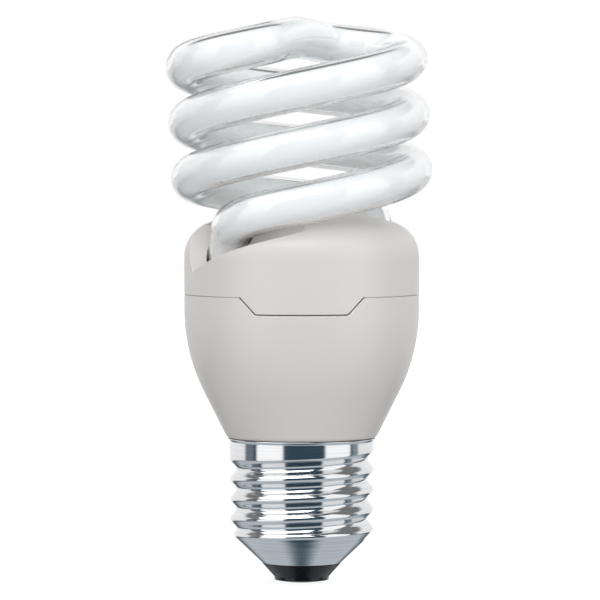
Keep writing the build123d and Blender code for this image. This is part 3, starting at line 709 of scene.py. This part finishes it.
@dataclass
class SpiralTube:
    """Wound discharge tube: clear glass with a wall, and the white coating inside it."""

    path: SpiralPath = field(default_factory=SpiralPath)
    radius: float = 3.8
    wall: float = 0.82
    gap: float = 0.03
    sides: int = 56

    def sections(self) -> list[Matrix]:
        """Frames of the tube's sections, carried along without twist.

        Returns:
            The frames in metres, with Z along the tube.
        """
        points = self.path.points()
        found = []
        across = Vector((1, 0, 0))
        for i, point in enumerate(points):
            ahead = (points[min(i + 1, len(points) - 1)] - points[max(i - 1, 0)]).normalized()
            across = (across - ahead * across.dot(ahead)).normalized()
            turn = Matrix((across, ahead.cross(across), ahead)).transposed()
            found.append(Matrix.Translation(point * MM) @ turn.to_4x4())
        return found

    def skin(self, mesh: bmesh.types.BMesh, radius: float) -> list[bmesh.types.BMFace]:
        """Draw one closed skin of the tube along its path.

        Args:
            mesh: Mesh that gets the skin.
            radius: Radius of the skin in millimetres.

        Returns:
            The skin's faces, which point outwards.
        """
        others = set(mesh.faces)
        layer = mesh.verts.layers.float_vector.get(DRAWN) or mesh.verts.layers.float_vector.new(DRAWN)
        sections = self.sections()
        circle = bmesh.ops.create_circle(mesh, segments=self.sides, radius=radius * MM, matrix=sections[0])
        ring = circle["verts"]
        for i, vert in enumerate(ring):
            angle = 2 * math.pi * i / self.sides
            vert[layer] = (math.cos(angle), math.sin(angle), 0.0)
        first = edges = edges_of(ring)
        for i, (before, after) in enumerate(zip(sections, sections[1:])):
            made = bmesh.ops.extrude_edge_only(mesh, edges=edges)["geom"]
            ring = [item for item in made if isinstance(item, bmesh.types.BMVert)]
            bmesh.ops.transform(mesh, matrix=after @ before.inverted(), verts=ring)
            for vert in ring:
                vert[layer] = (*vert[layer].xy, (i + 1) / (len(sections) - 1))
            edges = edges_of(ring)
        bmesh.ops.holes_fill(mesh, edges=first + edges)
        faces = [face for face in mesh.faces if face not in others]
        bmesh.ops.recalc_face_normals(mesh, faces=faces)
        return faces

    def build(self, groups: Groups) -> None:
        """Make the glass and the coating, which stand for the tube's solid.

        Args:
            groups: Shared node groups.
        """
        glass = bmesh.new()
        self.skin(glass, self.radius)
        bmesh.ops.reverse_faces(glass, faces=self.skin(glass, self.radius - self.wall))
        envelope = new_piece("glass_envelope", glass, GlassFinish().material(groups))
        coating = bmesh.new()
        self.skin(coating, self.radius - self.wall - self.gap)
        powder = new_piece("phosphor_coating", coating, PhosphorFinish().material(groups))
        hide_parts("spiral_tube")
        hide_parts("spiral_tube")


def edges_of(ring: Sequence[bmesh.types.BMVert]) -> list[bmesh.types.BMEdge]:
    """Edges between the neighbours of a ring.

    Args:
        ring: Vertices of the ring.

    Returns:
        The edges, in the mesh's order.
    """
    members = set(ring)
    found = {edge for vert in ring for edge in vert.link_edges if edge.other_vert(vert) in members}
    return sorted(found, key=lambda edge: edge.index)


@dataclass
class ScrewCap:
    """Rolled screw shell with its knuckle thread, thread run-outs, end cone, skirt and flared rim."""

    crest_radius: float = 13.1
    depth: float = 1.1
    pitch: float = 3.629
    crest_z: float = 18.92
    skirt_radius: float = 13.2
    rim_radius: float = 13.6
    rim_flare: float = 0.5
    top_z: float = 26.4
    bottom_z: float = 3.6
    cone_radius: float = 7.2
    cone_slope: float = 1.065
    cone_blend: float = 0.9
    gauge: float = 0.3
    fade_turns: tuple[float, float] = (0.55, 0.95)  # turns above the crest, where the groove runs out
    band_turns: tuple[float, float] = (0.8, 1.0)  # and where the skirt takes over
    sides: int = 160
    rows: int = 230

    def groove(self, angle: float, z: float) -> float:
        """Depth of the rolled groove.

        Args:
            angle: Direction from the axis in radians, from 0 to a full turn.
            z: Height.

        Returns:
            The depth below the crest.
        """
        part = angle / (2 * math.pi) - 0.5
        turns = (z - self.crest_z) / self.pitch - part
        whole = math.floor(turns)
        share = turns - whole
        run = whole + part
        fade = 1 - smoothstep(run, *self.fade_turns)
        wave = (1 - math.cos(2 * math.pi * share)) / 2
        return self.depth * fade * wave

    def outside(self, angle: float, z: float) -> float:
        """Radius of the shell's outside.

        Args:
            angle: Direction from the axis in radians, from 0 to a full turn.
            z: Height.

        Returns:
            The distance from the axis.
        """
        part = angle / (2 * math.pi) - 0.5
        turns = (z - self.crest_z) / self.pitch - part
        band = smoothstep(turns, *self.band_turns)
        body = self.crest_radius + (self.skirt_radius - self.crest_radius) * band
        threaded = body - self.groove(angle, z)
        cone = self.cone_radius + self.cone_slope * (z - self.bottom_z)
        flare = (self.rim_radius - self.skirt_radius) * smoothstep(z, self.top_z - self.rim_flare, self.top_z)
        return soft_min(threaded, cone, self.cone_blend) + flare

    def build(self, material: bpy.types.Material) -> None:
        """Make the shell from its outside and an inside one gauge within it.

        Args:
            material: Its plated metal.
        """
        mesh = bmesh.new()
        height = self.top_z - self.bottom_z
        middle = Matrix.Translation((0, 0, (self.bottom_z + height / 2) * MM))
        bmesh.ops.create_cone(
            mesh,
            segments=self.sides,
            radius1=self.crest_radius * MM,
            radius2=self.crest_radius * MM,
            depth=height * MM,
            matrix=middle,
        )
        half = height * MM / 2
        upright = [edge for edge in mesh.edges if abs(edge.verts[0].co.z - edge.verts[1].co.z) > half]
        bmesh.ops.subdivide_edges(mesh, edges=upright, cuts=self.rows)
        for vert in mesh.verts:
            angle = math.atan2(vert.co.y, vert.co.x) % (2 * math.pi)
            z = vert.co.z / MM
            vert.co = polar(angle, self.outside(angle, z), z) * MM
        bmesh.ops.recalc_face_normals(mesh, faces=mesh.faces)
        bmesh.ops.solidify(mesh, geom=mesh.faces, thickness=self.gauge * MM)
        shell = new_piece("rolled_screw_shell", mesh, material)
        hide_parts("screw_shell")


def smoothstep(value: float, low: float, high: float) -> float:
    """Smooth step from 0 at a low value to 1 at a high one."""
    t = min(max((value - low) / (high - low), 0.0), 1.0)
    return t * t * (3 - 2 * t)


def soft_min(first: float, second: float, blend: float) -> float:
    """Smaller of two numbers, rounded where they cross."""
    h = max(blend - abs(first - second), 0.0) / blend
    return min(first, second) - h * h * blend / 4


@dataclass
class CarriedNodes:
    """CAD nodes whose shape stays, each dressed in the finish of its slot."""

    record: dict
    nodes: dict

    def dress(self, materials: dict[Slot, bpy.types.Material]) -> None:
        """Give every shown node its finish.

        Args:
            materials: Material of each slot.
        """
        dressed = 0
        for part in self.record["subparts"]:
            node = self.nodes[part["node"]]
            if node.hide_render:
                continue
            dressed += 1
            material = materials[Slot(part["material_slot"])]
            node.data.materials.clear()
            node.data.materials.append(material)
        log.info("dressed %d nodes", dressed)


# Studio


@dataclass(frozen=True)
class Softbox:
    """Lit panel of the studio, by direction from the lamp, in degrees."""

    middle: float
    half_width: float
    low: float
    high: float
    strength: float
    edge: float = 3.0
    slant: float = 0.0
    tint: Colour = (1.0, 1.0, 1.0)


@dataclass
class Studio:
    """Pale floor, white backdrop, softboxes and the camera."""

    distance: float = 0.82
    camera_z: float = 0.084
    aim_z: float = 0.0516
    aim_x: float = -0.0003
    lens: float = 270.0
    clip_start: float = 0.01
    floor_reach: float = 1.5
    floor_colour: Colour = (0.5, 0.5, 0.5)
    floor_shaded: Colour = (0.3, 0.3, 0.3)  # what the camera sees darken in the shadow
    floor_glow: float = 0.85
    mirrored_base: Colour = (0.042, 0.075, 0.105)
    mirrored: tuple[Softbox, ...] = (
        # Dim strips at the sides
        Softbox(-99.0, 16.0, -60.0, 62.0, 1.0, 3.0, 0.0, (0.17, 0.2, 0.24)),
        Softbox(105.0, 16.0, -60.0, 62.0, 1.0, 3.0, 0.0, (0.25, 0.32, 0.36)),
        # Tall softboxes left and right of the camera
        Softbox(-53.0, 23.5, -60.0, 62.0, 1.22),
        Softbox(61.0, 23.0, -60.0, 62.0, 1.22),
        # Grey above the backdrop, then the white backdrop
        Softbox(180.0, 100.0, 20.0, 80.0, 0.22, 6.0),
        Softbox(180.0, 78.0, -16.0, 33.0, 1.0, 4.0),
        # Bright panel high in front, with a slanted edge
        Softbox(-22.0, 60.0, 42.0, 76.0, 4.5, 2.0, 0.35),
        # Pale table
        Softbox(0.0, 200.0, -76.0, -26.0, 0.62, 8.0, 0.0, (0.86, 0.94, 1.0)),
    )
    lighting_base: Colour = (0.36, 0.37, 0.38)
    lighting: tuple[Softbox, ...] = (
        # Overhead, back and front
        Softbox(0.0, 220.0, 48.0, 110.0, 1.2, 16.0),
        Softbox(180.0, 40.0, -30.0, 70.0, 1.5, 26.0),
        Softbox(4.0, 40.0, -15.0, 62.0, 2.05, 28.0),
    )

    def panels(self, groups: Groups, tree: Tree, base: Colour, boxes: Sequence[Softbox]) -> Socket:
        """Colour of the studio by direction.

        Args:
            groups: Shared node groups.
            tree: The world's nodes.
            base: Colour between the softboxes.
            boxes: The softboxes, each over those before it.

        Returns:
            The socket with the colour.
        """
        towards = tree.add("ShaderNodeTexCoord").outputs["Generated"]
        part = tree.add("ShaderNodeSeparateXYZ", {0: towards})
        forward = tree.math("MULTIPLY", part.outputs[1], -1.0)
        azimuth = tree.math("MULTIPLY", tree.math("ARCTAN2", part.outputs[0], forward), 180 / math.pi)
        elevation = tree.math("MULTIPLY", tree.math("ARCSINE", part.outputs[2]), 180 / math.pi)
        colour = (*base, 1.0)
        for box in boxes:
            turned = tree.math("WRAP", azimuth, 360.0, 0.0) if box.middle > 90 else azimuth
            mask = tree.add(
                "ShaderNodeGroup",
                {
                    "Azimuth": turned,
                    "Elevation": elevation,
                    "Middle": box.middle,
                    "Half Width": box.half_width,
                    "Low": box.low,
                    "High": box.high,
                    "Edge": box.edge,
                    "Slant": box.slant,
                },
                node_tree=groups.softbox,
            )
            lit = tuple(part * box.strength for part in box.tint)
            mix = tree.add("ShaderNodeMix", data_type="RGBA", blend_type="MIX")
            tree.fill(mix, {0: mask.outputs[0], 6: colour, 7: (*lit, 1.0)})
            colour = mix.outputs[2]
        return colour

    def world(self, groups: Groups) -> None:
        """Light the scene softly from the front, and give metal and glass a studio to mirror.

        Args:
            groups: Shared node groups.
        """
        world = bpy.data.worlds.new("studio")
        world.use_nodes = True
        world.cycles.sampling_method = "NONE"
        bpy.context.scene.world = world
        tree = Tree(world.node_tree)
        tree.tree.nodes.clear()
        rays = tree.add("ShaderNodeLightPath").outputs
        mirrored = self.panels(groups, tree, self.mirrored_base, self.mirrored)
        lighting = self.panels(groups, tree, self.lighting_base, self.lighting)
        studio = tree.add("ShaderNodeBackground", {"Color": mirrored, "Strength": 1.0})
        light = tree.add("ShaderNodeBackground", {"Color": lighting, "Strength": 1.0})
        white = tree.add("ShaderNodeBackground", {"Color": (1.0, 1.0, 1.0, 1.0), "Strength": 1.0})
        unseen = tree.add(
            "ShaderNodeMixShader", {0: rays["Is Diffuse Ray"], 1: studio.outputs[0], 2: light.outputs[0]}
        )
        shown = tree.add(
            "ShaderNodeMixShader", {0: rays["Is Camera Ray"], 1: unseen.outputs[0], 2: white.outputs[0]}
        )
        tree.add("ShaderNodeOutputWorld", {"Surface": shown.outputs[0]})

    def floor(self) -> None:
        """Lay the pale floor under the lamp."""
        mesh = bmesh.new()
        bmesh.ops.create_grid(mesh, x_segments=1, y_segments=1, size=self.floor_reach)
        data = bpy.data.meshes.new("floor")
        mesh.to_mesh(data)
        mesh.free()
        floor = bpy.data.objects.new("floor", data)
        bpy.context.scene.collection.objects.link(floor)
        floor.visible_glossy = False
        material = bpy.data.materials.new("pale_floor")
        material.use_nodes = True
        tree = Tree(material.node_tree)
        tree.tree.nodes.clear()
        pale = tree.add("ShaderNodeBsdfDiffuse", {"Color": (*self.floor_colour, 1.0)})
        shaded = tree.add("ShaderNodeBsdfDiffuse", {"Color": (*self.floor_shaded, 1.0)})
        glow = tree.add("ShaderNodeEmission", {"Color": (1.0, 1.0, 1.0, 1.0), "Strength": self.floor_glow})
        seen = tree.add("ShaderNodeLightPath").outputs["Is Camera Ray"]
        white = tree.add("ShaderNodeAddShader", {0: shaded.outputs[0], 1: glow.outputs[0]})
        shown = tree.add("ShaderNodeMixShader", {0: seen, 1: pale.outputs[0], 2: white.outputs[0]})
        tree.add("ShaderNodeOutputMaterial", {"Surface": shown.outputs[0]})
        data.materials.append(material)

    def camera(self) -> None:
        """Set the camera at the photo's angle."""
        data = bpy.data.cameras.new("camera")
        data.lens = self.lens
        data.clip_start = self.clip_start
        camera = bpy.data.objects.new("camera", data)
        bpy.context.scene.collection.objects.link(camera)
        camera.location = (self.aim_x, -self.distance, self.camera_z)
        aim = Vector((self.aim_x, 0.0, self.aim_z)) - camera.location
        camera.rotation_euler = aim.to_track_quat("-Z", "Y").to_euler()
        bpy.context.scene.camera = camera

    def build(self, groups: Groups) -> None:
        """Make the whole studio.

        Args:
            groups: Shared node groups.
        """
        self.world(groups)
        self.floor()
        self.camera()
        bpy.context.scene.view_settings.view_transform = "Standard"


def main() -> None:
    """Dress the lamp and set up the studio."""
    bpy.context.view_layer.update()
    groups = Groups()
    materials = {slot: finish.material(groups) for slot, finish in FINISHES.items()}
    SpiralTube().build(groups)
    ScrewCap().build(materials[Slot.CAP])
    CarriedNodes(frame["record"], frame["nodes"]).dress(materials)
    Studio().build(groups)


if __name__ == "__main__":
    main()
